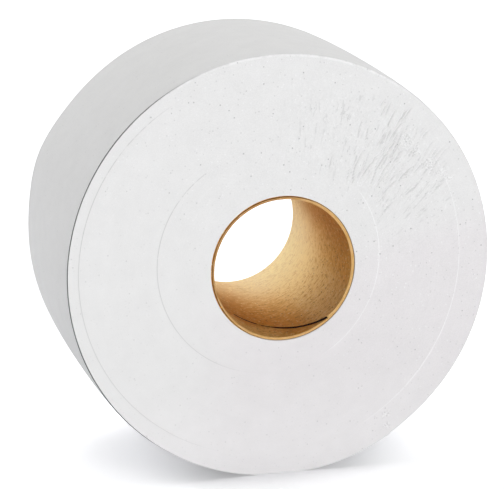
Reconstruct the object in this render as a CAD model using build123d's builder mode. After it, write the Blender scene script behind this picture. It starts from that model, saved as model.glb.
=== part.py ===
from build123d import *
import os
from math import cos, radians, sin

# A jumbo toilet roll for a dispenser: sheet wound on a spiral paperboard core.
# It stands on its rim, with the winding axis along Y and the front end towards -Y.
# The origin is the middle of the core's bore. Lengths are in millimetres.

# Driving sizes of the roll
roll_diameter = 184.0
roll_width = 90.0
core_bore = 60.0
core_wall = 1.7

# Winding of the sheet
winding_right = -0.8  # how far the outermost turns lie to the right of the core's axis
turn_step = 0.4  # height of the free end above the turn below it
tail_angle = -58.0  # where the free end lies, seen from the front, anticlockwise from +X
edge_softening = 0.4  # how far the cut edges slope off below the height of the free end
flat_depth = 0.6  # how far the roll has settled on the turns that it stands on
turn_points = 36  # points that draw one turn of the outline

# Bands of turns that have slid along the axis, each a little further back.
# Their bounds are circles that lie a little off the core's axis.
band_slide = 0.4
inner_band_width = 16.8  # average width of the band next to the core
inner_band_right = -5.9
inner_band_up = 3.0
outer_band_width = 8.7  # average width of the band under the rim
middle_band_right = -4.4
middle_band_up = 1.0

# Core of two glued plies, wound as a helix
core_inset = 0.3  # how far the sheet stands out past the core at each end
ply_gap = 0.65  # width of the seam between neighbouring windings of a ply
ply_depth_share = 0.45  # depth of a seam as a share of the wall
ply_pitch = 122.0  # length of core that one winding of a ply covers
inner_seam_angle = -49.0  # where the inner ply's seam meets the front end
outer_seam_angle = -150.0  # where the outer ply's seam meets the front end

cut_overrun = 3.0  # how far cutting tools run past what they cut

# Sizes that follow from those above
roll_radius = roll_diameter / 2
bore_radius = core_bore / 2
core_radius = bore_radius + core_wall
core_length = roll_width - 2 * core_inset
ply_depth = core_wall * ply_depth_share
floor_height = flat_depth - roll_radius
rim_right = winding_right + roll_radius
edge_slope = turn_step + edge_softening
outer_band_front = 2 * band_slide - roll_width / 2
inner_band_radius = core_radius + inner_band_width
middle_band_radius = roll_radius - outer_band_width


def turn_radius(turn_share):
    # radius of the outermost turn at a share of a turn behind its free end
    return roll_radius - turn_step * turn_share


def turn_point(turn_share):
    # point of the outermost turn; the sheet runs clockwise from its free end
    angle = radians(tail_angle - 360 * turn_share)
    radius = turn_radius(turn_share)
    return (winding_right + radius * cos(angle), radius * sin(angle))


def band_plane(slides):
    # plane across the front of a band that has slid back by some band slides
    return Plane.XZ.offset(roll_width / 2 - slides * band_slide)


# Sheet: all its turns are one solid
with BuildPart() as tissue:
    # Outer band, bounded by the outermost turn with its free end
    with BuildSketch(band_plane(2)):
        with BuildLine():
            turn = Spline([turn_point(i / turn_points) for i in range(turn_points + 1)])
            Line(turn @ 1, turn @ 0)
        make_face()
        with Locations((middle_band_right, middle_band_up)):
            Circle(middle_band_radius, mode=Mode.SUBTRACT)
    extrude(amount=-roll_width)

    # Middle band
    with BuildSketch(band_plane(1)):
        with Locations((middle_band_right, middle_band_up)):
            Circle(middle_band_radius)
        with Locations((inner_band_right, inner_band_up)):
            Circle(inner_band_radius, mode=Mode.SUBTRACT)
    extrude(amount=-roll_width)

    # Inner band, wound on the core
    with BuildSketch(band_plane(0)):
        with Locations((inner_band_right, inner_band_up)):
            Circle(inner_band_radius)
        Circle(core_radius, mode=Mode.SUBTRACT)
    extrude(amount=-roll_width)

    # Soft cut edges of the outermost turns, sloped off at 45 degrees at both ends
    with BuildSketch(Plane.XY):
        with BuildLine():
            Polyline(
                (rim_right - edge_slope - cut_overrun, outer_band_front - cut_overrun),
                (rim_right + cut_overrun, outer_band_front + edge_slope + cut_overrun),
                (rim_right + cut_overrun, outer_band_front - cut_overrun),
                close=True,
            )
        make_face()
        mirror(about=Plane.XZ.offset(-2 * band_slide))
    revolve(axis=Axis((winding_right, 0, 0), (0, 1, 0)), mode=Mode.SUBTRACT)

    # Flat spot where the roll stands on its rim
    split(bisect_by=Plane.XY.offset(floor_height), keep=Keep.TOP)


def seam_path(radius, angle):
    # helix along which a ply's seam runs, from in front of the core to behind it
    start = angle + 360 * cut_overrun / ply_pitch
    across = (cos(radians(start)), 0, sin(radians(start)))
    front = Plane(origin=(0, -core_length / 2 - cut_overrun, 0), x_dir=across, z_dir=(0, 1, 0))
    return front, Helix(pitch=ply_pitch, height=core_length + 2 * cut_overrun, radius=radius, mode=Mode.PRIVATE)


# Core: plies glued to one another, one solid with a seam inside and one outside
with BuildPart() as core:
    with BuildSketch(Plane.XZ):
        Circle(core_radius)
        Circle(bore_radius, mode=Mode.SUBTRACT)
    extrude(amount=core_length / 2, both=True)

    for radius, angle in ((bore_radius, inner_seam_angle), (core_radius, outer_seam_angle)):
        front, helix = seam_path(radius, angle)
        seam = front.from_local_coords(helix)
        with BuildSketch(Plane(origin=seam @ 0, x_dir=front.x_dir, z_dir=seam % 0)):
            Rectangle(2 * ply_depth, ply_gap)
        sweep(path=seam, is_frenet=True, mode=Mode.SUBTRACT)

tissue.part.label = "tissue"
core.part.label = "core"

os.makedirs("parts", exist_ok=True)
export_step(tissue.part, "parts/tissue.step")
export_step(core.part, "parts/core.step")
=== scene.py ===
import bpy
import math
import random
import numpy as np
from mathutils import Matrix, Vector


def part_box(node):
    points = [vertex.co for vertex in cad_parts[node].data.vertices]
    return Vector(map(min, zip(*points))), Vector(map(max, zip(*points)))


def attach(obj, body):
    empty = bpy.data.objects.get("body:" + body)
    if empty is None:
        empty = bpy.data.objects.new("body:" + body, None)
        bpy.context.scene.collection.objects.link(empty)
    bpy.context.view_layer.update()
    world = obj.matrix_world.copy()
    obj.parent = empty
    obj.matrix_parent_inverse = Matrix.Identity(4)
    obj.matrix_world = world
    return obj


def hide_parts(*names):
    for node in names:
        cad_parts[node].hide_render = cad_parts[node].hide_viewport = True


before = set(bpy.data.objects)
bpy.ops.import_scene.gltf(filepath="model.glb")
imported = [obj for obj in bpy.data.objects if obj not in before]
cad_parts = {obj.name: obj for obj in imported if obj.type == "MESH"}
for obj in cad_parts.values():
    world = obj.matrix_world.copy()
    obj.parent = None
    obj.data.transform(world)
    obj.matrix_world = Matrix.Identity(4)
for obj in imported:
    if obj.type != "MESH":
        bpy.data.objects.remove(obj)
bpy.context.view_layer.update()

print("frame loaded:", sorted(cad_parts))

sheetLow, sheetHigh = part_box("tissue")
coreLow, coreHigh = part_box("core")

mm = 0.001


def stand(name, data):
    # an object in the scene
    piece = bpy.data.objects.new(name, data)
    bpy.context.scene.collection.objects.link(piece)
    return piece


# Shader maths

class Wire:
    # the output of a node, so that shader maths can be written as sums
    def __init__(self, nodes, socket):
        self.nodes = nodes
        self.socket = socket

    def maths(self, operation, *values):
        return self.nodes.add("ShaderNodeMath", {"operation": operation}, dict(enumerate(values)))

    def __add__(self, other):
        return self.maths("ADD", self, other)

    def __radd__(self, other):
        return self.maths("ADD", other, self)

    def __sub__(self, other):
        return self.maths("SUBTRACT", self, other)

    def __rsub__(self, other):
        return self.maths("SUBTRACT", other, self)

    def __mul__(self, other):
        return self.maths("MULTIPLY", self, other)

    def __rmul__(self, other):
        return self.maths("MULTIPLY", other, self)

    def __truediv__(self, other):
        return self.maths("DIVIDE", self, other)

    def __rtruediv__(self, other):
        return self.maths("DIVIDE", other, self)

    def root(self):
        return self.maths("POWER", self, 0.5)

    def size(self):
        return self.maths("ABSOLUTE", self)

    def atLeast(self, least):
        return self.maths("MAXIMUM", self, least)

    def fade(self, start, full):
        # 0 at start and 1 at full, whichever is the greater, with a soft change between them
        low, high = sorted((start, full))
        sockets = {"Value": self, "From Min": low, "From Max": high}
        change = self.nodes.add("ShaderNodeMapRange", {"interpolation_type": "SMOOTHSTEP"}, sockets)
        return change if start < full else 1 - change


class Nodes:
    # the nodes of a material or of the world
    def __init__(self, tree):
        self.tree = tree

    def plug(self, slot, value):
        # a link or a value into a socket
        if isinstance(value, Wire):
            self.tree.links.new(value.socket, slot)
        elif isinstance(slot.default_value, (int, float)):
            slot.default_value = value
        elif len(slot.default_value) == 4 and len(value) == 3:
            slot.default_value = (*value, 1)
        else:
            slot.default_value = value

    def add(self, kind, settings=None, sockets=None, output=0):
        made = self.tree.nodes.new(kind)
        for setting, value in (settings or {}).items():
            setattr(made, setting, value)
        for slot, value in (sockets or {}).items():
            self.plug(made.inputs[slot], value)
        return Wire(self, made.outputs[output])

    def axes(self, vector):
        split = self.add("ShaderNodeSeparateXYZ", sockets={0: vector})
        return [Wire(self, out) for out in split.socket.node.outputs]


class Finish(Nodes):
    # a material with one shader, a colour that grows coat by coat, and the dictionary of its look
    def __init__(self, name, look, **constants):
        self.material = bpy.data.materials.new(name)
        self.material.use_nodes = True
        super().__init__(self.material.node_tree)
        self.look = look
        self.colour = look["colour"]
        self.shader = self.tree.nodes["Principled BSDF"]
        inMetres = self.add("ShaderNodeTexCoord", output="Object")
        # where a point lies on the roll, in millimetres
        self.spot = self.add("ShaderNodeVectorMath", {"operation": "SCALE"}, {0: inMetres, "Scale": 1 / mm})
        self.x, self.y, self.z = self.axes(self.spot)
        self.feed(**constants)

    def feed(self, **values):
        # wires or constants into the shader's sockets
        for slot, value in values.items():
            self.plug(self.shader.inputs[slot.replace("_", " ")], value)

    def join(self, x, y, z):
        return self.add("ShaderNodeCombineXYZ", sockets={0: x, 1: y, 2: z})

    def distance(self, right=0.0, up=0.0):
        # millimetres to a line along the roll, right and up of the core's axis
        aside, above = self.x - right, self.z - up
        return (aside * aside + above * above).root()

    def pattern(self, name, vector=None):
        # one of the look's noise patterns
        scale, detail, roughness = self.look["patterns"][name]
        sockets = {"Vector": vector or self.spot, "Scale": scale, "Detail": detail, "Roughness": roughness}
        return self.add("ShaderNodeTexNoise", {"noise_dimensions": "3D"}, sockets)

    def marks(self, name):
        # small scattered marks, 1 in the middle of each
        spacing, (whole, gone), (across, along), (right, behind, above) = self.look["marks"][name]
        moved = self.join(self.x * across + right, self.y * along + behind, self.z * across + above)
        sockets = {"Vector": moved, "Scale": 1 / spacing}
        away = self.add("ShaderNodeTexVoronoi", {"feature": "F1"}, sockets)
        return away.fade(gone / spacing, whole / spacing)

    def attribute(self, name):
        # a value that each point of the mesh has
        return self.add("ShaderNodeAttribute", {"attribute_name": name}, output="Fac")

    def mask(self, name, value):
        # where one of the look's masks covers what it is used on, 0 to 1
        return value.fade(*self.look["masks"][name])

    def mix(self, amount, first, second):
        # sockets by number, because those for colours share their names with others
        return self.add("ShaderNodeMix", {"data_type": "RGBA"}, {0: amount, 6: first, 7: second}, output=2)

    def paint(self, amount, colour):
        self.colour = self.mix(amount, self.colour, self.look[colour])

    def coat(self, name, value, *masks):
        # paints one of the look's coats, where the value and all the masks say so
        colour, strength, start, full = self.look["coats"][name]
        self.paint(math.prod(masks, start=value.fade(start, full) * strength), colour)

    def shade(self, amount):
        sockets = {0: self.colour, "Scale": amount}
        self.colour = self.add("ShaderNodeVectorMath", {"operation": "SCALE"}, sockets)

    def finished(self, height):
        # with the colour as it is now, and the height as fine relief
        distance, strength = self.look["relief"]
        sockets = {"Height": height, "Distance": distance, "Strength": strength}
        self.feed(Base_Color=self.colour, Normal=self.add("ShaderNodeBump", sockets=sockets))
        return self.material


# The wound sheet, with every turn in one mesh

winding = {
    # angles are in degrees, from the right and counter-clockwise, as seen from the front
    "radius": 92 * mm,
    "middleRight": -0.8 * mm,  # the outermost turns lie a little to the left of the core
    "turnStep": 0.4 * mm,
    "tailAngle": -58.0,
    "bandSlide": 0.4 * mm,
    # the circles where the bands end: right and up of the core's axis, and radius
    "middleBand": (-4.4 * mm, 1.0 * mm, 83.3 * mm),
    "innerBand": (-5.9 * mm, 3.0 * mm, 48.5 * mm),
    "bandEdge": 0.12 * mm,  # width of the rounding at a band's edge
    "wobble": 0.07 * mm,  # how unevenly a band's edge runs around
    "slideShare": 0.08,  # share of the slide that shows at the front, away from the stretches below
    "slideStretches": (
        # where a band's slide begins to show and is gone again, and its share there
        ((112, 140), (236, 256), 0.20),
        ((-66, -50), (8, 28), 1.0),
    ),
    "slideWaver": 0.5,  # how much that share varies around the roll
    "crown": 0.9 * mm,  # how much fuller the roll is halfway along its width
    "crownPower": 2.5,  # a higher one gives flatter sides with rounder ends
    "lumps": 0.35 * mm,  # slight waves of the side
    "lumpsInFront": 0.4,  # share of them at the front; at the back they are whole
    "lumpsReach": 12 * mm,  # how far behind the front edge they have faded in
    "sag": 0.12 * mm,  # slight waves of the front face
    "bulges": (
        # where the roll isn't round: how far that reaches to each side, its height at the front and back
        (-12.0, 60.0, 1.15 * mm, 1.15 * mm),
        (158.0, 11.0, 0.0, 1.5 * mm),
    ),
    "bulgePower": 1.5,  # how late on the way back a bulge grows
    "waves": {
        # for each slow wave around the roll its seed, and the fewest and the most swells
        "loose": (3, 5, 17),
        "slide": (8, 9, 40),
        "innerBand": (13, 6, 30),
        "middleBand": (14, 6, 30),
        "lumps": (11, 3, 7),
        "sag": (5, 2, 6),
    },
    "fine": (6.0, 104.0),  # the creased stretch has the finest mesh
    "fineStep": 0.19,
    "coarseStep": 1.3,
    "tailColumns": (0.02, 0.4),  # columns beside the free end, with no others nearer than the next value
    "tailClear": 0.3,
    "sideRows": 15,
}

cutEdge = {
    "reach": 6.0 * mm,  # how far behind the cut the outermost turns are disturbed
    "turn": 0.12 * mm,  # thickness of the outermost turn at its cut edge
    "gap": 0.33 * mm,  # how far it stands off the turns below, where it does so most
    "tight": 0.03 * mm,  # and where it lies tight
    "looseFrom": (104, 138),  # between these it starts to stand off
    "looseTo": (212, 250),  # and between these it is tight again
    "looseWaver": 0.25,  # how much the gap varies
    "lip": 0.30 * mm,  # how far the turns at the core are pushed to the right
    "lipAt": -30.0,
    "overhang": 0.14 * mm,  # and how far they stand over the core everywhere
    "jog": 0.16 * mm,  # step where the first turn begins
    "jogAt": 6.8,
    "jogFades": 26.0,  # degrees after which the step has gone
    "pressed": 0.3 * mm,  # how gently the turns lift off the floor beside the flat spot
    # rows of points that round the edges, in millimetres: how far in each lies, and how deep
    "hubDepths": (1.4, 0.55),
    "lipClear": 0.10,  # how far past the lip the second of those stays
    "lipRows": ((0.0, 0.28), (0.02, 0.05), (0.06, 0.01)),
    "rollRows": ((0.10, 0.02), (0.03, 0.08)),
    "backRows": ((0.0, 4.0), (0.0, 2.0), (0.0, 0.8), (0.03, 0.4), (0.12, 0.15), (0.3, 0.03)),
    # the same, with the first as a share of the gap and of the outermost turn
    "gapRows": ((1.0, 0.22), (0.8, 1.2), (0.3, 2.4), (0.0, 3.0), (0.0, 2.0), (0.0, 0.6)),
    "turnRows": (
        (1.0, 0.13), (0.5, 0.05), (0.1, 0.10), (0.0, 0.25), (0.0, 0.7), (0.0, 1.4), (0.0, 2.4), (0.0, 4.0),
    ),
    # where the flat of each cut face begins and ends, and the rows on its bands
    "frontFlat": (0.14, 0.25),
    "backFlat": (0.4, 0.55),
    "frontCounts": (11, 29, 8),
    "backCounts": (4, 8, 3),
    "backHub": (0.12, 0.1, 0.5),  # the hole's back edge: how far in, how deep, and where it is straight
}

creases = {
    "seed": 7,
    "runFrom": (3 * mm, -37 * mm),  # creases point away from here, right and up of the core's axis
    "groups": (
        # how many, the sector's middle and half-width, then in millimetres the reach and the depth
        (96, 43.0, 19.0, (48, 82), 0.56),
        (30, 44.0, 15.0, (62, 84), 0.66),
        (60, 80.0, 26.0, (46, 86), 0.09),
        (30, 222.0, 22.0, (46, 80), 0.04),
        (50, 0.0, 50.0, (40, 88), 0.05),
    ),
    "shallowest": 0.2,  # share of a group's depth that every crease in it has
    "length": (3.5 * mm, 12 * mm),
    "width": (0.17 * mm, 0.29 * mm),
    "lean": 13.0,  # most degrees that a crease leans to either side
    "bend": 0.04,  # how far its ends curve aside, as a share of half its length
    "ridge": 0.45,  # height of the ridge along one side, as a share of its depth
    "ridgeAt": 1.5,  # and how many widths away that ridge runs
    "reach": 4,  # how many widths it reaches to each side
    "marked": 0.32 * mm,  # depth from which a crease has its full painted shade
    "mark": 0.25,  # its value in the mesh's shade, which is 1 in the gap under the outermost turn
}


def columnAngles():
    # angles of the mesh's columns, finest where the face is creased, with a pair at the free end
    first, last = winding["fine"]
    angles = list(np.arange(first, last, winding["fineStep"]))
    rest = 360 - (last - first)
    count = round(rest / winding["coarseStep"])
    angles += [last + rest * i / count for i in range(count)]
    tail = winding["tailAngle"] % 360
    angles = [a for a in angles if abs((a - tail + 180) % 360 - 180) > winding["tailClear"]]
    angles += [tail + side * beside for beside in winding["tailColumns"] for side in (-1, 1)]
    return np.radians(np.array(sorted(a % 360 for a in angles)))


def circleReach(angles, right, up, radius):
    # distance from the core's axis to a circle that lies off the axis, at each angle
    ahead = right * np.cos(angles) + up * np.sin(angles)
    aside = up * np.cos(angles) - right * np.sin(angles)
    return ahead + np.sqrt(radius ** 2 - aside ** 2)


def outOfRound(angles, share):
    # height of the bulges, at a share of the way from the front to the back
    total = 0 * angles
    for middle, reach, front, back in winding["bulges"]:
        off = ((np.degrees(angles) - middle + 180) % 360 - 180) / reach
        total = total + (front + (back - front) * share) * np.exp(-off ** 2)
    return total


def rimReach(angles):
    # distance from the core's axis to the outermost turn at the front
    behindTail = ((winding["tailAngle"] - np.degrees(angles)) % 360) / 360
    radius = winding["radius"] - winding["turnStep"] * behindTail
    return circleReach(angles, winding["middleRight"], 0.0, radius) + outOfRound(angles, 0)


def slowWave(angles, seed, fewest, most):
    # gentle swell around the roll, the sum of a few waves
    dice = random.Random(seed)
    swell = np.zeros_like(angles)
    for waves in range(fewest, most + 1):
        height = math.sqrt(fewest / waves) * dice.uniform(0.5, 1)
        swell += height * np.cos(waves * angles + dice.uniform(0, 2 * math.pi))
    return swell / (most - fewest + 1)


def sheetWave(angles, name):
    return slowWave(angles, *winding["waves"][name])


def creaseDepth(x, z):
    # how far the creases lower the front face at points across it
    dice = random.Random(creases["seed"])
    depth = np.zeros_like(x)
    fromRight, fromUp = creases["runFrom"]
    for count, middle, sector, (nearest, farthest), deepest in creases["groups"]:
        for _ in range(count):
            angle = math.radians(dice.gauss(middle, sector / 2))
            reach = dice.uniform(nearest * mm, farthest * mm)
            midRight, midUp = reach * math.cos(angle), reach * math.sin(angle)
            lean = math.atan2(midUp - fromUp, midRight - fromRight)
            lean += math.radians(dice.uniform(-creases["lean"], creases["lean"]))
            half = dice.uniform(*creases["length"]) / 2
            width = dice.uniform(*creases["width"])
            deep = deepest * mm * dice.uniform(creases["shallowest"], 1)
            right, up = x - midRight, z - midUp
            along = right * math.cos(lean) + up * math.sin(lean)
            across = up * math.cos(lean) - right * math.sin(lean) + creases["bend"] * along * along / half
            near = (np.abs(along) < half) & (np.abs(across) < creases["reach"] * width)
            ends = 1 - (along[near] / half) ** 2
            ratio = across[near] / width
            ridge = creases["ridge"] * np.exp(-(ratio - creases["ridgeAt"]) ** 2)
            depth[near] += deep * ends * (np.exp(-ratio ** 2) - ridge)
    return depth


def spread(first, last, count):
    # evenly spread circles between two, ends left out
    return [(1 - i / count) * first + i / count * last for i in range(1, count)]


def easeIn(values, low, high):
    # 0 up to low, 1 from high, with a soft change between them
    share = np.clip((values - low) / (high - low), 0, 1)
    return share * share * (3 - 2 * share)


def stretch(angles, begins, ends):
    # 1 along a stretch of the turn, 0 elsewhere, with a soft change at both ends, in degrees
    past = (np.degrees(angles) - begins[0]) % 360
    ended = easeIn(past, ends[0] - begins[0], ends[1] - begins[0])
    return easeIn(past, 0, begins[1] - begins[0]) * (1 - ended)


def looseness(angles):
    # 1 where the outermost turn stands off the roll, 0 where it is tight
    loose = stretch(angles, cutEdge["looseFrom"], cutEdge["looseTo"])
    return loose * (1 + cutEdge["looseWaver"] * sheetWave(angles, "loose"))


def slideShown(angles):
    # share of a band's slide that shows at the front
    share = np.full_like(angles, winding["slideShare"])
    for begins, ends, there in winding["slideStretches"]:
        share += (there - winding["slideShare"]) * stretch(angles, begins, ends)
    return share * (1 + winding["slideWaver"] * sheetWave(angles, "slide"))


def lipReach(angles):
    # where the turns at the core end at the front, pushed aside and with the step of the first turn
    pushed = cutEdge["lip"] * np.cos(angles - math.radians(cutEdge["lipAt"]))
    lip = coreHigh.x + pushed - cutEdge["overhang"]
    past = (cutEdge["jogAt"] - np.degrees(angles)) % 360
    return lip + cutEdge["jog"] * np.clip(1 - past / cutEdge["jogFades"], 0, 1)


def bandReach(angles, band):
    # distance from the core's axis to the edge of a band, which runs a little unevenly
    return circleReach(angles, *winding[band]) + winding["wobble"] * sheetWave(angles, band)


def sheetRows(angles):
    # rows of points across the front, over the rim, down the back and through the middle
    hub = np.full_like(angles, coreHigh.x)
    lip = lipReach(angles)
    inner, middle = bandReach(angles, "innerBand"), bandReach(angles, "middleBand")
    rim = rimReach(angles)
    rimBack = rim + outOfRound(angles, 1) - outOfRound(angles, 0)
    slide = winding["bandSlide"]
    front, back = sheetLow.y, sheetHigh.y - 2 * slide

    def row(reach, y, place):
        return reach, y + 0 * angles, place

    def face(level, slide, first, rimEdge, counts):
        # one cut face from the core out to the rim, in three bands
        crisp, near = winding["bandEdge"] / 4, winding["bandEdge"]
        bounds = ((first, inner, 0), (inner, middle, 1), (middle, rimEdge, 2))
        part = []
        for (inside, outside, slides), count in zip(bounds, counts):
            y = level + slides * slide
            if slides:
                part.append(row(inside + crisp, y, "face"))
                inside = inside + near
            last = outside - near
            reaches = (inside, inside + near, *spread(inside + near, last - near, count), last - near, last)
            part += [row(reach, y, "face") for reach in reaches]
            if slides < 2:
                part.append(row(outside - crisp, y, "face"))
        return part

    # the front edge, where the outermost turn stands off the turns below on the left
    gap = cutEdge["tight"] + cutEdge["gap"] * looseness(angles)
    below = rim - cutEdge["turn"]
    frontSlide = slide * slideShown(angles)
    sideFront, sideBack = front + 2 * frontSlide, back + 2 * slide
    hubReaches = (hub, np.minimum(hub, lip + cutEdge["lipClear"] * mm))
    rows = [row(reach, front + depth * mm, "hub") for reach, depth in zip(hubReaches, cutEdge["hubDepths"])]
    rows += [row(lip + past * mm, front + depth * mm, "hub") for past, depth in cutEdge["lipRows"]]
    first, last = cutEdge["frontFlat"]
    rows += face(front, frontSlide, lip + first * mm, below - gap - last * mm, cutEdge["frontCounts"])
    for inset, depth in cutEdge["rollRows"]:
        rows.append(row(below - gap - inset * mm, sideFront + depth * mm, "edge"))
    for share, depth in cutEdge["gapRows"]:
        rows.append(row(below - share * gap, sideFront + depth * mm, "gap"))
    for share, depth in cutEdge["turnRows"]:
        rows.append(row(rim - share * cutEdge["turn"], sideFront + depth * mm, "edge"))

    length = sideBack - sideFront - 2 * cutEdge["reach"]
    for step in range(winding["sideRows"]):
        y = sideFront + cutEdge["reach"] + length * step / (winding["sideRows"] - 1)
        rows.append(row(rim, y, "side"))

    # the back, where the turns lie tight
    for inset, depth in cutEdge["backRows"]:
        rows.append(row(rim - inset * mm, sideBack - depth * mm, "edge"))
    first, last = cutEdge["backFlat"]
    rows += reversed(face(back, slide, hub + first * mm, rimBack - last * mm, cutEdge["backCounts"]))
    inset, depth, straight = cutEdge["backHub"]
    rows.append(row(hub + inset * mm, back - depth * mm, "hub"))
    rows += [row(hub, y, "hub") for y in (back - straight * mm, 0.5 * back, 0.0, 0.5 * front)]
    return rows


def swellSide(reach, y, angles):
    # the roll is fuller halfway along, and not quite round
    middle = (sheetLow.y + sheetHigh.y) / 2
    share = (y - middle) / (sheetHigh.y - middle)
    backwards = np.clip(0.5 + share / 2, 0, 1)
    crown = winding["crown"] * np.clip(1 - np.abs(share) ** winding["crownPower"], 0, 1)
    inFront = winding["lumpsInFront"]
    lumps = winding["lumps"] * sheetWave(angles, "lumps") * (inFront + (1 - inFront) * backwards)
    hushed = np.clip((y - sheetLow.y) / winding["lumpsReach"], 0, 1)
    bulge = outOfRound(angles, backwards ** winding["bulgePower"]) - outOfRound(angles, 0)
    return reach + crown + lumps * hushed + bulge


def closedMesh(name, rings, inwards, mark, marks):
    # rings of points, each ring joined to the next and the last to the first, with a mark on each point
    count = len(rings[0])
    i, j = np.meshgrid(np.arange(len(rings)), np.arange(count), indexing="ij")
    after, beside = (i + 1) % len(rings), (j + 1) % count
    corners = [i * count + j, i * count + beside, after * count + beside, after * count + j]
    quads = np.stack(corners if inwards else corners[::-1], -1)
    mesh = bpy.data.meshes.new(name)
    mesh.from_pydata(np.concatenate(rings).tolist(), [], quads.reshape(-1, 4).tolist())
    mesh.polygons.foreach_set("use_smooth", [True] * len(mesh.polygons))
    mesh.update()
    values = mesh.attributes.new(mark, "FLOAT", "POINT")
    values.data.foreach_set("value", np.concatenate(marks).astype(np.float32))
    print(name, "has", len(mesh.polygons) * 2, "triangles")
    return stand(name, mesh)


def windSheet():
    angles = columnAngles()
    loose = looseness(angles)
    rings, shades = [], []
    for reach, y, place in sheetRows(angles):
        if place in ("side", "edge", "gap"):
            reach = swellSide(reach, y, angles)
        x, z = reach * np.cos(angles), reach * np.sin(angles)
        shade = loose if place == "gap" else 0 * loose
        if place == "face" and y[0] < 0:
            sag = winding["sag"] * sheetWave(angles, "sag") * (reach / winding["radius"]) ** 2
            depth = creaseDepth(x, z)
            y = y + depth + sag
            shade = creases["mark"] * np.clip(depth / creases["marked"], -1, 1)
        above = z - sheetLow.z
        above = (above + np.sqrt(above ** 2 + cutEdge["pressed"] ** 2)) / 2  # pressed flat by the floor
        z = sheetLow.z + above
        rings.append(np.stack([x, y, z], 1))
        shades.append(shade)
    return closedMesh("woundSheet", rings, False, "shade", shades)


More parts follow.
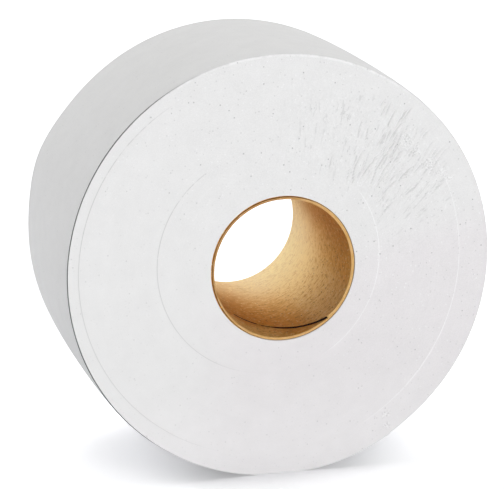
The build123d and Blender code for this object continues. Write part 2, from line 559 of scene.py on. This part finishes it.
sheetLook = {
    "colour": (0.834, 0.832, 0.826),
    "warmColour": (0.826, 0.802, 0.810),  # below and to the right
    "bottomLightColour": (0.895, 0.880, 0.884),  # painted light, at the bottom
    # fluff, and painted highlights on the bands' edges, among the creases and on their ridges
    "fluffAndHighlightColour": (0.93, 0.93, 0.93),
    # painted highlights on the rim and on the crumpled spots
    "highlightColour": (0.97, 0.97, 0.97),
    "speckColour": (0.30, 0.30, 0.30),
    # painted shade in the creases and on the crumpled spots
    "creaseShadeColour": (0.46, 0.46, 0.455),
    # painted shade along the bands' edges on the left
    "stepShadeColour": (0.60, 0.60, 0.595),
    # painted shade in the gap under the outermost turn
    "gapShadeColour": (0.19, 0.19, 0.19),
    "creasedAt": (0.66, 0.75),  # direction of the most creased part from the core, right and up
    "knocks": (
        # crumpled spots on the front, in millimetres: right and up of the core's axis, and their reach
        (53.5, 52.5, 4.6), (58.3, 47.0, 2.8), (64.7, 40.8, 3.6), (70.0, 37.5, 3.8), (74.0, 34.0, 2.6),
        (46.5, -69.0, 2.4), (46.8, -73.5, 2.4),
    ),
    "knockRagged": 7,  # how uneven their edges are
    "knockMiddle": 0.2,  # share of the reach where they are whole
    "brightUpTo": {"innerBand": 0.60, "middleBand": 0.50},  # how far up the right a band's line is whole
    "dullUp": {"innerBand": 0.1, "middleBand": 0.35},  # how much of its brightness it loses on the way up
    "lineStrength": 0.95,
    "lineEnds": (0.5, 0.15),  # how much wholer the lines are up to there, and how soft the change is
    "faintMore": 0.3,  # how much wholer the lines on the left are lower down
    "warmLean": 0.25,  # how much the warm part leans to the right
    "warmCloudy": (0.70, 0.3),  # how warm it is everywhere there, and how much more in clouds
    "patterns": {
        # for each its fineness, detail and roughness
        "waver": (0.16, 2.0, 0.6), "strokes": (1.0, 3.0, 0.62), "finer": (1.0, 2.0, 0.6),
        "crumbs": (1.25, 2.0, 0.6), "rings": (2.2, 3.0, 0.6), "wideRings": (0.35, 2.0, 0.5),
        "crepe": (1.6, 3.0, 0.55), "fibres": (2.3, 3.0, 0.65), "patches": (0.11, 2.0, 0.6),
        "clouds": (0.045, 2.0, 0.5), "broken": (0.35, 2.0, 0.6),
    },
    "strokesAround": 64,  # more gives narrower strokes
    "strokesWaver": 2.5,
    "strokesAlong": 0.08,  # less gives longer ones
    "finerTimes": 2,  # how much narrower the finer ones are
    "finerAlong": 0.5,
    "ringsAround": 5,  # more breaks the rings into shorter ones
    "wideRingsAround": 1.5,
    "crepeAlong": 0.12,
    "marks": {
        # the millimetres between them, those from the middle where a mark is whole and has gone,
        # the squeeze across and along the roll, and the shift of the pattern
        "fluff": (2.8, (0.14, 0.448), (1, 1), (31, 17, 53)),
        "specks": (4.4, (0.216, 0.432), (1, 1), (0, 0, 0)),
        "dust": (2.5, (0.204, 0.408), (1, 1), (70, 70, 70)),
    },
    "shown": {
        # for each of them the strength on smooth paper, how much more on rough paper, and the colour
        "fluff": (0.2, 0.6, "fluffAndHighlightColour"),
        "specks": (0.1925, 0.3575, "speckColour"),
        "dust": (0.084, 0.156, "speckColour"),
    },
    "masks": {
        # for each the values where it starts and is full, in millimetres where it is a place
        "cutEnd": (0.45, 0.8),  # how far the surface faces along the axis
        "creased": (0.64, 0.97), "creasedFrom": (36, 52), "creasedTo": (86, 76), "rough": (-0.9, 0.8),
        "warmRight": (-50, -10), "lineRight": (0.25, 0.55), "lineLow": (-0.92, -0.80),
        "lineLeft": (-0.30, -0.70), "lineTop": (0.94, 0.72), "lineWhole": (0.55, 0.68),
        "lineFibres": (0.30, 0.52), "lineDull": (0.0, 0.4), "faintUp": (0.7, -0.2),
        "faintWhole": (0.34, 0.54), "highlightTop": (0.74, 0.92), "highlightWhole": (0.36, 0.62),
        "highlightStrokes": (0.52, 0.42),
    },
    "coats": {
        # for each its colour, its strength, and the values where it starts and is full
        "warm": ("warmColour", 1.0, -8, 16),
        "bright": ("bottomLightColour", 0.8, -40, -84),
        "line": ("fluffAndHighlightColour", 1.0, 0.255, 0.102),
        "leftStepShade": ("stepShadeColour", 0.6, 0.255, 0.102),
        "patchyPaintedLight": ("highlightColour", 0.6, 1.7, 0.9),
        "darkStrokes": ("creaseShadeColour", 0.34, 0.56, 0.68),
        "creaseHighlights": ("fluffAndHighlightColour", 0.6, 0.60, 0.70),
        "crumpleHighlights": ("highlightColour", 0.9, 0.53, 0.63),
        "crumpleShade": ("creaseShadeColour", 0.45, 0.45, 0.36),
        # of the mesh's shade, which is at most 0.25 in a crease and 1 in the gap
        "creaseFloor": ("creaseShadeColour", 0.38, 0.0375, 0.25),
        "creaseRidge": ("fluffAndHighlightColour", 0.55, -0.0375, -0.15),
        "gap": ("gapShadeColour", 1.0, 0.3, 0.7),
    },
    "tone": {
        # how much each pattern changes the brightness
        "rings": 0.02, "wideRings": 0.02, "crepe": 0.03, "patches": 0.07, "fibres": 0.06,
        "roughFibres": 0.16, "finer": 0.14,
    },
    "toneLevel": 0.99,
    "heights": {
        # how much each pattern stands out
        "rings": 0.5, "fibres": 0.6, "crepe": 0.8, "sideFibres": 0.3, "strokes": 2.0, "crumbs": 2.5,
    },
    "relief": (0.12 * mm, 0.55),  # how high a height of 1 stands, and how strongly it shows
}


def tissuePaper():
    look = sheetLook
    tone, heights = look["tone"], look["heights"]
    sheen = {"Sheen_Weight": 0.12, "Sheen_Roughness": 0.6}
    paper = Finish("tissuePaper", look, Roughness=0.92, Specular_IOR_Level=0.12, **sheen)
    x, y, z, reach = paper.x, paper.y, paper.z, paper.distance()
    right, up = x / reach, z / reach
    facing = paper.add("ShaderNodeNewGeometry", output="Normal")
    sideways = paper.axes(facing)[1]
    ends, front = paper.mask("cutEnd", sideways.size()), paper.mask("cutEnd", 0 - sideways)

    # where the front face has been knocked, and how much
    facingCrease = right * look["creasedAt"][0] + up * look["creasedAt"][1]
    between = paper.mask("creasedFrom", reach) * paper.mask("creasedTo", reach)
    creased = paper.mask("creased", facingCrease) * between * front
    rough = paper.mask("rough", facingCrease) * front

    # fine wavy strokes that point away from below the core
    fromRight, fromUp = [value / mm for value in creases["runFrom"]]
    away = paper.distance(fromRight, fromUp)
    waver = look["strokesWaver"] * paper.pattern("waver")
    runX, runZ = [out / away * look["strokesAround"] + waver for out in (x - fromRight, z - fromUp)]
    strokes = paper.pattern("strokes", paper.join(runX, away * look["strokesAlong"], runZ))
    times = look["finerTimes"]
    finer = paper.pattern("finer", paper.join(runX * times, away * look["finerAlong"], runZ * times))
    crumbs = paper.pattern("crumbs")

    # turns: fine rings on the cut ends, broken up as they go around
    around, wideAround = look["ringsAround"], look["wideRingsAround"]
    rings = paper.pattern("rings", paper.join(reach, right * around, up * around))
    wideRings = paper.pattern("wideRings", paper.join(reach, right * wideAround, up * wideAround))
    # crepe: fine ridges along the roll's width on the outermost turn
    radius = winding["radius"] / mm
    crepe = paper.pattern("crepe", paper.join(right * radius, up * radius, y * look["crepeAlong"]))
    fibres, patches, clouds, broken = map(paper.pattern, ("fibres", "patches", "clouds", "broken"))

    # tone: a little warmer below and to the right, and lighter at the bottom, which is painted light
    least, more = look["warmCloudy"]
    paper.coat("warm", x * look["warmLean"] - z, paper.mask("warmRight", x), ends, least + more * clouds)
    paper.coat("bright", z, ends)
    onEnds = tone["rings"] * (rings - 0.5) - tone["wideRings"] * (wideRings - 0.5)
    shade = look["toneLevel"] + onEnds * ends + tone["crepe"] * (crepe - 0.5) * (1 - ends)
    shade = shade + tone["patches"] * (patches - 0.5) + tone["finer"] * (finer - 0.5) * creased
    paper.shade(shade + (tone["fibres"] + tone["roughFibres"] * rough) * (fibres - 0.5))

    # the edge of each band: a painted highlight on the right, and faint grey painted shade on the left
    onRight = paper.mask("lineRight", right) * paper.mask("lineLow", up) * paper.mask("lineFibres", fibres)
    onLeft = paper.mask("lineLeft", right) * paper.mask("lineTop", up)
    faint = paper.mask("faintWhole", broken + look["faintMore"] * paper.mask("faintUp", up))
    sharp, soft = look["lineEnds"]
    for band, highest in look["brightUpTo"].items():
        bandRight, bandUp, bandRadius = [value / mm for value in winding[band]]
        off = (paper.distance(bandRight, bandUp) - bandRadius).size()
        shown = paper.mask("lineWhole", broken + sharp * up.fade(highest + soft, highest - soft))
        bright = look["lineStrength"] - look["dullUp"][band] * paper.mask("lineDull", up)
        paper.coat("line", off, front, onRight, shown, bright)
        paper.coat("leftStepShade", off, front, onLeft, faint)

    # a painted highlight along the rim at the top, broken in places
    fromRim = radius - paper.distance(winding["middleRight"] / mm)
    paper.coat("patchyPaintedLight", fromRim, paper.mask("highlightTop", up), paper.mask("highlightWhole", broken), front)

    # painted shade in strokes and painted highlights among the creases, and painted highlights and shade on
    # the crumpled spots
    paper.coat("darkStrokes", strokes, creased)
    paper.coat("creaseHighlights", finer, paper.mask("highlightStrokes", strokes), creased)
    knocked = 0 * reach
    ragged = look["knockRagged"] * (broken - 0.5)
    for knockRight, knockUp, size in look["knocks"]:
        apart = paper.distance(knockRight, knockUp) + ragged
        knocked = knocked.atLeast(apart.fade(size, size * look["knockMiddle"]))
    knocked = knocked * front
    paper.coat("crumpleHighlights", crumbs, knocked)
    paper.coat("crumpleShade", crumbs, knocked)
    for name, (smooth, more, colour) in look["shown"].items():
        paper.paint(paper.marks(name) * (smooth + more * rough), colour)

    # painted shade in the creases of the mesh with a painted highlight on their ridges, and painted shade
    # in the gap under the outermost turn
    marked = paper.attribute("shade")
    for name in ("creaseFloor", "creaseRidge", "gap"):
        paper.coat(name, marked)

    onEnds = rings * heights["rings"] + fibres * heights["fibres"]
    onSide = crepe * heights["crepe"] + fibres * heights["sideFibres"]
    height = onEnds * ends + onSide * (1 - ends) - strokes * creased * heights["strokes"]
    return paper.finished(height + crumbs * knocked * heights["crumbs"])


# The core: a tube of two plies, each wound as a helix with a seam

tube = {
    # angles are in degrees, as on the sheet
    "bore": 30.0 * mm,
    "pitch": 122 * mm,  # length of core that one winding of a ply covers
    "innerSeam": -49.0,  # where the seam inside meets the front end
    "outerSeam": -150.0,
    "seamWidth": 0.52 * mm,
    "seamDepth": 0.75 * mm,
    "darkEdge": 0.03 * mm,  # how far its painted shade reaches over the edges of the plies
    "seamFades": 22 * mm,  # how far along the seam is deepest
    "seamFarIn": 0.5,  # share of its depth beyond that
    "lift": 0.36 * mm,  # how far the ply's edge behind the seam has come up at the front end
    "sunk": 0.28 * mm,  # and how far the edge before the seam has gone down
    "liftReach": 26 * mm,
    "liftFarIn": 0.15,  # share of both beyond that
    "liftWidth": 1.5 * mm,  # how far from the seam they reach
    "waves": 0.06 * mm,  # slight waves of the bore
    "wavesAlong": 60,  # their turn along the tube, in radians a metre
    "wavesAround": (21, 3, 9),  # their seed, and the fewest and the most swells
    "bevel": 0.12 * mm,  # crushed outer edge of the front end
    "crushed": 0.75 * mm,  # and where it is crushed most, at the upper left
    "crushedAt": 158.0,
    "crushedPower": 1.3,
    "backBevel": 0.1 * mm,
    "pushed": 0.36 * mm,  # how far the front end has been pushed out of round
    "pushedAt": -32.0,
    "pushedOutside": 0.7,  # share of that on the outside
    "flare": 0.28 * mm,  # how far the bore opens out at the lower left of the front end
    "flareAt": -108.0,
    "flareReach": 14 * mm,
    "rough": 0.03 * mm,  # unevenness of the cut ends
    "roughAround": (9, 60),  # the fewest and the most swells of that
    # columns beside a seam, in millimetres from its edge and from its middle, then degrees between others
    "edgeColumns": (-0.015, 0.015, 0.13),
    "sideColumns": (0.7, 1.1, 1.7, 2.6, 4.0, 6.0),
    "columnStep": 2.0,
    "columnClear": 1.0,  # and how near those come to a seam's columns
    # rows that round a cut end, in millimetres
    "outerRows": (1.6, 0.15),  # how deep those on the outside are
    "bevelRows": (0.04, 0.01),  # how deep those on the bevel are
    "wallShares": (0.8, 0.55, 0.3),  # where those across the wall lie
    "boreRows": ((0.13, 0.0), (0.04, 0.05), (0.0, 0.2)),  # how far in from the bore, and how deep
    # rows along the tube, in millimetres
    "frontRows": (0.5, 1.0),
    "boreFrom": 1.8,
    "boreStep": 1.32,
    "boreSteps": 66,  # how many of those
    "outsideRows": 34,  # how many on the outside
}


def seamAngle(y, start):
    # degrees at which a seam lies at y
    return start - 360 * (y - coreLow.y) / tube["pitch"]


def acrossSeam(turned, seam, radius):
    # distance from a seam, square to it, for columns turned away from the inner seam
    lead = math.atan2(2 * math.pi * radius, tube["pitch"])
    away = (turned - (seam - tube["innerSeam"]) + 180) % 360 - 180
    return np.radians(away) * radius * math.cos(lead)


def coreColumns():
    # degrees between each column and the inner seam, closest together at both seams
    half = tube["seamWidth"] / 2 / mm
    steps = [0, *(half + edge for edge in tube["edgeColumns"]), *tube["sideColumns"]]
    columns = []
    for seam, radius in ((tube["innerSeam"], tube["bore"]), (tube["outerSeam"], coreHigh.x)):
        middle = seam - tube["innerSeam"]
        perMm = mm / acrossSeam(np.array([middle + 1.0]), seam, radius)[0]
        columns += [(middle + side * step * perMm) % 360 for step in steps for side in (-1, 1)]

    def clear(angle):
        return all(abs((angle - column + 180) % 360 - 180) > tube["columnClear"] for column in columns)

    even = [angle for angle in np.arange(0, 360, tube["columnStep"]) if clear(angle)]
    return np.array(sorted(set(columns + even)))


def windCore():
    turned = coreColumns()
    inside = acrossSeam(turned, tube["innerSeam"], tube["bore"])
    outside = acrossSeam(turned, tube["outerSeam"], coreHigh.x)
    half = tube["seamWidth"] / 2
    inGap = (np.abs(inside) < half).astype(float)
    dark = (np.abs(inside) < half + tube["darkEdge"]).astype(float)
    outerGap = (np.abs(outside) < half).astype(float)
    outerReach = coreHigh.x - tube["seamDepth"] * outerGap
    rings, shades = [], []

    def anglesAt(y):
        return np.radians(turned + seamAngle(y, tube["innerSeam"]))

    def fading(y, reach):
        # 1 at the front end, 0 from a distance behind it
        return np.clip(1 - (y - coreLow.y) / reach, 0, 1)

    def pushedOut(angles):
        return tube["pushed"] * np.cos(angles - math.radians(tube["pushedAt"]))

    def boreAt(y):
        # radius of the bore, with the seam, its raised and sunken edges and slight waves
        angles = anglesAt(y)
        nearFront = fading(y, tube["liftReach"])
        edges = np.where(inside > 0, -tube["lift"], tube["sunk"])
        edges = edges * (tube["liftFarIn"] + (1 - tube["liftFarIn"]) * nearFront)
        raised = edges * np.exp(-((np.abs(inside) - half) / tube["liftWidth"]) ** 2) * (1 - inGap)
        waves = tube["waves"] * slowWave(angles, *tube["wavesAround"]) * math.cos(tube["wavesAlong"] * y)
        farIn = tube["seamFarIn"]
        groove = tube["seamDepth"] * (farIn + (1 - farIn) * fading(y, tube["seamFades"]))
        flared = np.clip(np.cos(angles - math.radians(tube["flareAt"])), 0, 1) ** 2
        flared *= tube["flare"] * fading(y, tube["flareReach"])
        return tube["bore"] + inGap * groove + raised + waves + pushedOut(angles) * nearFront + flared

    def ring(radius, y, depth, shade):
        # a ring at y, and a depth further along at each point
        angles = anglesAt(y)
        points = (radius * np.cos(angles), y + depth + 0 * angles, radius * np.sin(angles))
        rings.append(np.stack(points, 1))
        shades.append(shade)

    def end(y, inwards, bevel):
        # one cut end, from the outside in
        outer, bore = outerReach, boreAt(y)
        if y < 0:
            outer = outer + tube["pushedOutside"] * pushedOut(anglesAt(y))
        sideDepth, edgeDepth = tube["outerRows"]
        ring(outerReach, y + inwards * sideDepth * mm, 0, outerGap)
        ring(outer, y + inwards * (np.max(bevel) + edgeDepth * mm), 0, outerGap)
        middle, foot = tube["bevelRows"]
        part = [(outer - 0.5 * bevel, 0.5 * np.max(bevel) + middle * mm), (outer - bevel, foot * mm)]
        for share in tube["wallShares"]:
            rough = tube["rough"] * slowWave(anglesAt(y), int(share * 100), *tube["roughAround"])
            part.append((bore + share * (outer - bevel - bore), rough))
        part += [(bore + inset * mm, depth * mm) for inset, depth in tube["boreRows"]]
        for radius, depth in part:
            level = np.mean(depth)
            ring(radius, y + inwards * level, inwards * (depth - level), 0 * inGap)

    crush = 0.5 + 0.5 * np.cos(anglesAt(coreLow.y) - math.radians(tube["crushedAt"]))
    end(coreLow.y, 1, tube["bevel"] + tube["crushed"] * crush ** tube["crushedPower"])
    further = [tube["boreFrom"] + tube["boreStep"] * step for step in range(tube["boreSteps"])]
    for depth in (*tube["frontRows"], *further):
        y = coreLow.y + depth * mm
        ring(boreAt(y), y, 0, dark)
    firstBack = len(rings)
    end(coreHigh.y, -1, np.full_like(turned, tube["backBevel"]))
    rings[firstBack:] = rings[firstBack:][::-1]
    for step in range(tube["outsideRows"], 0, -1):
        share = step / (tube["outsideRows"] + 1)
        ring(outerReach, coreLow.y + share * (coreHigh.y - coreLow.y), 0, outerGap)
    return closedMesh("woundCore", rings, True, "seam", shades)


coreLook = {
    # its tables are laid out as in the look of the sheet
    "colour": (0.955, 0.69, 0.235),
    "frontShadeColour": (0.87, 0.440, 0.068),  # painted shade, browner towards the front end
    "frontCloudy": (0.55, 0.5),  # how brown it is everywhere there, and how much more in clouds
    "backLightColour": (0.92, 0.815, 0.530),  # painted light, paler further in
    "sideShadeColour": (0.625, 0.240, 0.028),  # painted shade, deeper brown away from the palest part
    "palestAt": (0.766, -0.643),  # direction of that part from the axis, right and up
    "paleLightColour": (0.97, 0.84, 0.42),  # painted light, its stripe along the tube
    "lowShadeColour": (0.80, 0.38, 0.045),  # painted shade, browner along the bottom, towards the front end
    "stripLightColour": (0.99, 0.68, 0.26),  # painted light on the strip below the seam, at the front end
    "stripAt": (-0.423, -0.906),
    "darkColour": (0.57, 0.31, 0.082),
    "fleckColour": (0.24, 0.10, 0.022),
    "fibreColour": (0.99, 0.80, 0.42),
    # painted shade in the seam's groove
    "seamShadeColour": (0.020, 0.010, 0.006),
    "cutColour": (0.72, 0.435, 0.165),
    "paleCutColour": (0.84, 0.57, 0.30),
    # painted shade where the cut end is crushed
    "crushedShadeColour": (0.36, 0.17, 0.055),
    "crushedAt": (-0.86, 0.5),
    # painted shade: a dark line around the cut end's outer edge, where it meets the sheet
    "outlineShadeColour": (0.10, 0.040, 0.012),
    "cutCentre": (-0.85, 0.53),  # the rings of the cut end lie off the axis this way
    "cutOff": 0.25,  # by this many millimetres
    "plyAt": 30.75,  # millimetres from the axis where the plies meet
    "outlineShadeCrushed": 0.55,  # millimetres by which that line of painted shade is wider where the end is crushed
    "endEdge": (0.35, 0.12),  # millimetres from the end where its colours start and are full
    "patterns": {
        "streaks": (1.0, 3.0, 0.6), "clouds": (0.10, 3.0, 0.55), "grain": (1.3, 2.0, 0.6),
        "layers": (1.0, 2.0, 0.6),
    },
    "squeeze": {"streaks": (0.42, 0.85), "grain": (1.0, 0.7)},  # around and along the tube
    "layersSqueeze": (3.2, 7),  # out from the axis and around it
    "marks": {
        "flecks": (1.6, (0.128, 0.384), (0.8, 0.4), (9, 5, 3)),
        "fibres": (1.2, (0.12, 0.336), (0.7, 0.5), (40, 20, 60)),
    },
    "strength": {"fibres": 0.75, "flecks": 0.55, "crushed": 0.9},
    "markedAll": 0.35,  # share of the dark marks that runs through; the rest fades towards the back
    "masks": {
        "sideAlong": (110, -36), "lowAlong": (30, -30), "stripAlong": (-24, -36), "marked": (26, -20),
        "upperLeft": (-0.35, 0.75), "plyStreaks": (0.35, 0.55), "seamBreaksAlong": (-36, -20),
        "seamBreaksClouds": (0.45, 0.55),
    },
    "coats": {
        "front": ("frontShadeColour", 1.0, -11, -44),
        "back": ("backLightColour", 0.9, -22, 34),
        "side": ("sideShadeColour", 0.80, 1.0, 0.40),
        "pale": ("paleLightColour", 0.42, 0.86, 1.0),
        "low": ("lowShadeColour", 0.55, -0.80, -1.0),
        "strip": ("stripLightColour", 0.8, 0.78, 0.96),
        "darkStreaks": ("darkColour", 0.8, 0.47, 0.70),
        "darkGrain": ("darkColour", 0.6, 0.50, 0.74),
        "brightStreaks": ("fibreColour", 0.45, 0.50, 0.30),
        "cutGrain": ("darkColour", 0.6, 0.45, 0.75),
        "ply": ("darkColour", 0.4, 0.30, 0.08),
        "paleLayers": ("paleCutColour", 0.5, 0.48, 0.62),
        "darkLayers": ("darkColour", 0.5, 0.46, 0.34),
        "glue": ("outlineShadeColour", 0.95, 31.2, 31.42),
        "seam": ("seamShadeColour", 1.0, 0.6, 0.95),
    },
    "heights": {"grain": 0.8, "fibres": 0.3},  # how much each stands out beside the streaks
    "relief": (0.12 * mm, 0.7),
}


def coreBoard():
    look = coreLook
    strength, heights = look["strength"], look["heights"]
    board = Finish("coreBoard", look, Roughness=0.75, Specular_IOR_Level=0.12)
    x, y, z, reach = board.x, board.y, board.z, board.distance()

    def towards(name):
        # how well a point's direction from the axis agrees with one of the look's, at most 1
        right, up = look[name]
        return (x * right + z * up) / reach

    def squeezed(name):
        around, along = look["squeeze"][name]
        return board.pattern(name, board.join(x * around, y * along, z * around))

    # fibres run around the tube, so the streaks change fastest along it
    streaks, grain, clouds = squeezed("streaks"), squeezed("grain"), board.pattern("clouds")
    flecks, fibres = board.marks("flecks"), board.marks("fibres")

    # painted shade: brown at the front, on the sides and at the bottom; painted light: pale further in, in
    # a stripe and on the strip below the seam
    least, more = look["frontCloudy"]
    board.coat("front", y, least + more * clouds)
    board.coat("back", y)
    palest = towards("palestAt")
    board.coat("side", palest, board.mask("sideAlong", y))
    board.coat("pale", palest)
    board.coat("low", z / reach, board.mask("lowAlong", y))
    board.coat("strip", towards("stripAt"), board.mask("stripAlong", y))

    # streaks, grain, fibres and flecks, most marked towards the front
    marked = look["markedAll"] + (1 - look["markedAll"]) * board.mask("marked", y)
    board.coat("darkStreaks", streaks, marked)
    board.coat("darkGrain", grain, marked)
    board.coat("brightStreaks", streaks)
    board.paint(fibres * strength["fibres"], "fibreColour")
    board.paint(flecks * marked * strength["flecks"], "fleckColour")

    # the cut end: golden, with painted shade at the upper left where it is crushed, and a dark line of
    # painted shade around its outer edge
    wall, board.colour = board.colour, look["cutColour"]
    upperLeft = board.mask("upperLeft", towards("crushedAt"))
    board.paint(upperLeft * strength["crushed"], "crushedShadeColour")
    board.coat("cutGrain", grain)
    centred = reach + look["cutOff"] * towards("cutCentre")
    board.coat("ply", (centred - look["plyAt"]).size(), board.mask("plyStreaks", streaks))
    outwards, around = look["layersSqueeze"]
    layers = board.pattern("layers", board.join(reach * outwards, x / reach * around, z / reach * around))
    board.coat("paleLayers", layers)
    board.coat("darkLayers", layers)
    board.coat("glue", centred + look["outlineShadeCrushed"] * upperLeft)
    onEnd = y.size().fade(*(coreHigh.y / mm - inset for inset in look["endEdge"]))
    board.colour = board.mix(onEnd, wall, board.colour)

    # painted shade in the seam, left out in patches further in
    patchyPaintedLight = board.mask("seamBreaksAlong", y) * board.mask("seamBreaksClouds", clouds)
    board.coat("seam", board.attribute("seam"), 1 - patchyPaintedLight)
    return board.finished(streaks + grain * heights["grain"] + fibres * heights["fibres"])


# Studio: pale floor, soft dome, one broad lamp, and the camera

studio = {
    "colour": (0.84, 0.845, 0.87),  # of the floor
    "floorSize": 8.0,
    "floorGlow": (0.22, 0.56),  # under the roll, where the weaker glow paints a shadow, and away from it
    "shadeMiddle": (-7.2, -4.4),  # millimetres, right and behind; the painted shadow is deepest here
    "shadeHalfSize": (75.5, 54.8),
    "shadeReach": (0.61, 1.18),  # the shares of that size where the shade starts to fade and has gone
    "softboxes": (
        # parts of the dome that glow: their direction, where the glow begins and is full, its strength
        ((-0.50, 0.70, 0.50), 0.94, 0.99, 8.3),
        ((-0.28, 0.92, 0.28), 0.95, 0.99, 3.6),
        ((-0.95, 0.22, 0.22), 0.90, 0.98, 0.90),
        ((0.35, 0.35, 0.87), 0.75, 0.95, 1.46),
        ((0.93, 0.15, 0.33), 0.80, 0.97, 1.62),
    ),
    "keySpot": (0.3, -4.0, 0.15),  # level with the roll, in front of it
    "keySize": 0.9,
    "keyPower": 130.0,
}


def layFloor():
    half = studio["floorSize"] / 2
    corners = [(-half, -half), (half, -half), (half, half), (-half, half)]
    mesh = bpy.data.meshes.new("floor")
    mesh.from_pydata([(x, y, sheetLow.z) for x, y in corners], [], [(0, 1, 2, 3)])
    floor = stand("floor", mesh)
    paint = Finish("floorPaint", studio, Roughness=1.0, Specular_IOR_Level=0.0, Base_Color=studio["colour"])
    # the camera sees the lit floor as white, and its shadow stays; under the roll the glow is weaker, a
    # painted shadow
    eye = paint.add("ShaderNodeLightPath", output="Is Camera Ray")
    (middleX, middleY), (halfX, halfY) = studio["shadeMiddle"], studio["shadeHalfSize"]
    aside, along = (paint.x - middleX) / halfX, (paint.y - middleY) / halfY
    away = (aside * aside + along * along).root().fade(*studio["shadeReach"])
    low, high = studio["floorGlow"]
    glow = paint.add("ShaderNodeEmission", sockets={"Strength": eye * (low + (high - low) * away)})
    lit = Wire(paint, paint.shader.outputs[0])
    both = paint.add("ShaderNodeAddShader", sockets={0: lit, 1: glow})
    paint.plug(paint.tree.nodes["Material Output"].inputs["Surface"], both)
    mesh.materials.append(paint.material)


def hangDome():
    # the camera sees white, and the roll is lit by soft patches of light
    world = bpy.data.worlds.new("studioDome")
    bpy.context.scene.world = world
    world.use_nodes = True
    dome = Nodes(world.node_tree)
    seen = 0.0
    for kind in ("Is Camera Ray", "Is Glossy Ray", "Is Transmission Ray"):
        seen = dome.add("ShaderNodeLightPath", output=kind).atLeast(seen)
    east, north, up = dome.axes(dome.add("ShaderNodeTexCoord", output="Generated"))
    level = 0.0
    for (right, behind, above), begins, full, strength in studio["softboxes"]:
        facing = east * right + north * behind + up * above
        level = level + facing.fade(begins, full) * strength
    sky = dome.tree.nodes["Background"]
    dome.plug(sky.inputs["Strength"], seen + (1 - seen) * level)
    dome.plug(sky.inputs["Color"], (1, 1, 1))


def hangLamp():
    # aimed at the roll
    lamp = bpy.data.lights.new("keyLamp", "AREA")
    lamp.shape = "SQUARE"
    lamp.size = studio["keySize"]
    lamp.energy = studio["keyPower"]
    spot = Vector(studio["keySpot"])
    holder = stand("keyLamp", lamp)
    holder.location = spot
    holder.rotation_euler = (-spot).to_track_quat("-Z", "Y").to_euler()


view = {
    # how the photo sees the roll: degrees, then pixels of a picture 504 wide, then metres
    "azimuth": -15.12,
    "elevation": 14.78,
    "focalPixels": 2455.1,
    "pictureWidth": 504,
    "frontEnd": (13.06 * mm, -10.07 * mm, -1035.8 * mm),  # the core's front end, as the camera has it
    "sensorWidth": 36.0,
    "farthest": 50.0,
}


def placeCamera():
    lens = bpy.data.cameras.new("camera")
    lens.sensor_width = view["sensorWidth"]
    lens.lens = view["sensorWidth"] * view["focalPixels"] / view["pictureWidth"]
    lens.clip_end = view["farthest"]
    camera = stand("camera", lens)
    camera.rotation_euler = (math.radians(90 - view["elevation"]), 0, math.radians(view["azimuth"]))
    frontEnd = Vector((0, sheetLow.y, 0))
    camera.location = frontEnd - camera.rotation_euler.to_matrix() @ Vector(view["frontEnd"])
    bpy.context.scene.camera = camera


sheet = windSheet()
sheet.data.materials.append(tissuePaper())
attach(sheet, "root")
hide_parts("tissue")
print("sheet dressed")

core = windCore()
core.data.materials.append(coreBoard())
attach(core, "root")
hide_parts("core")
print("core dressed")

layFloor()
hangDome()
hangLamp()
placeCamera()
bpy.context.scene.view_settings.view_transform = "Standard"
print("studio set")
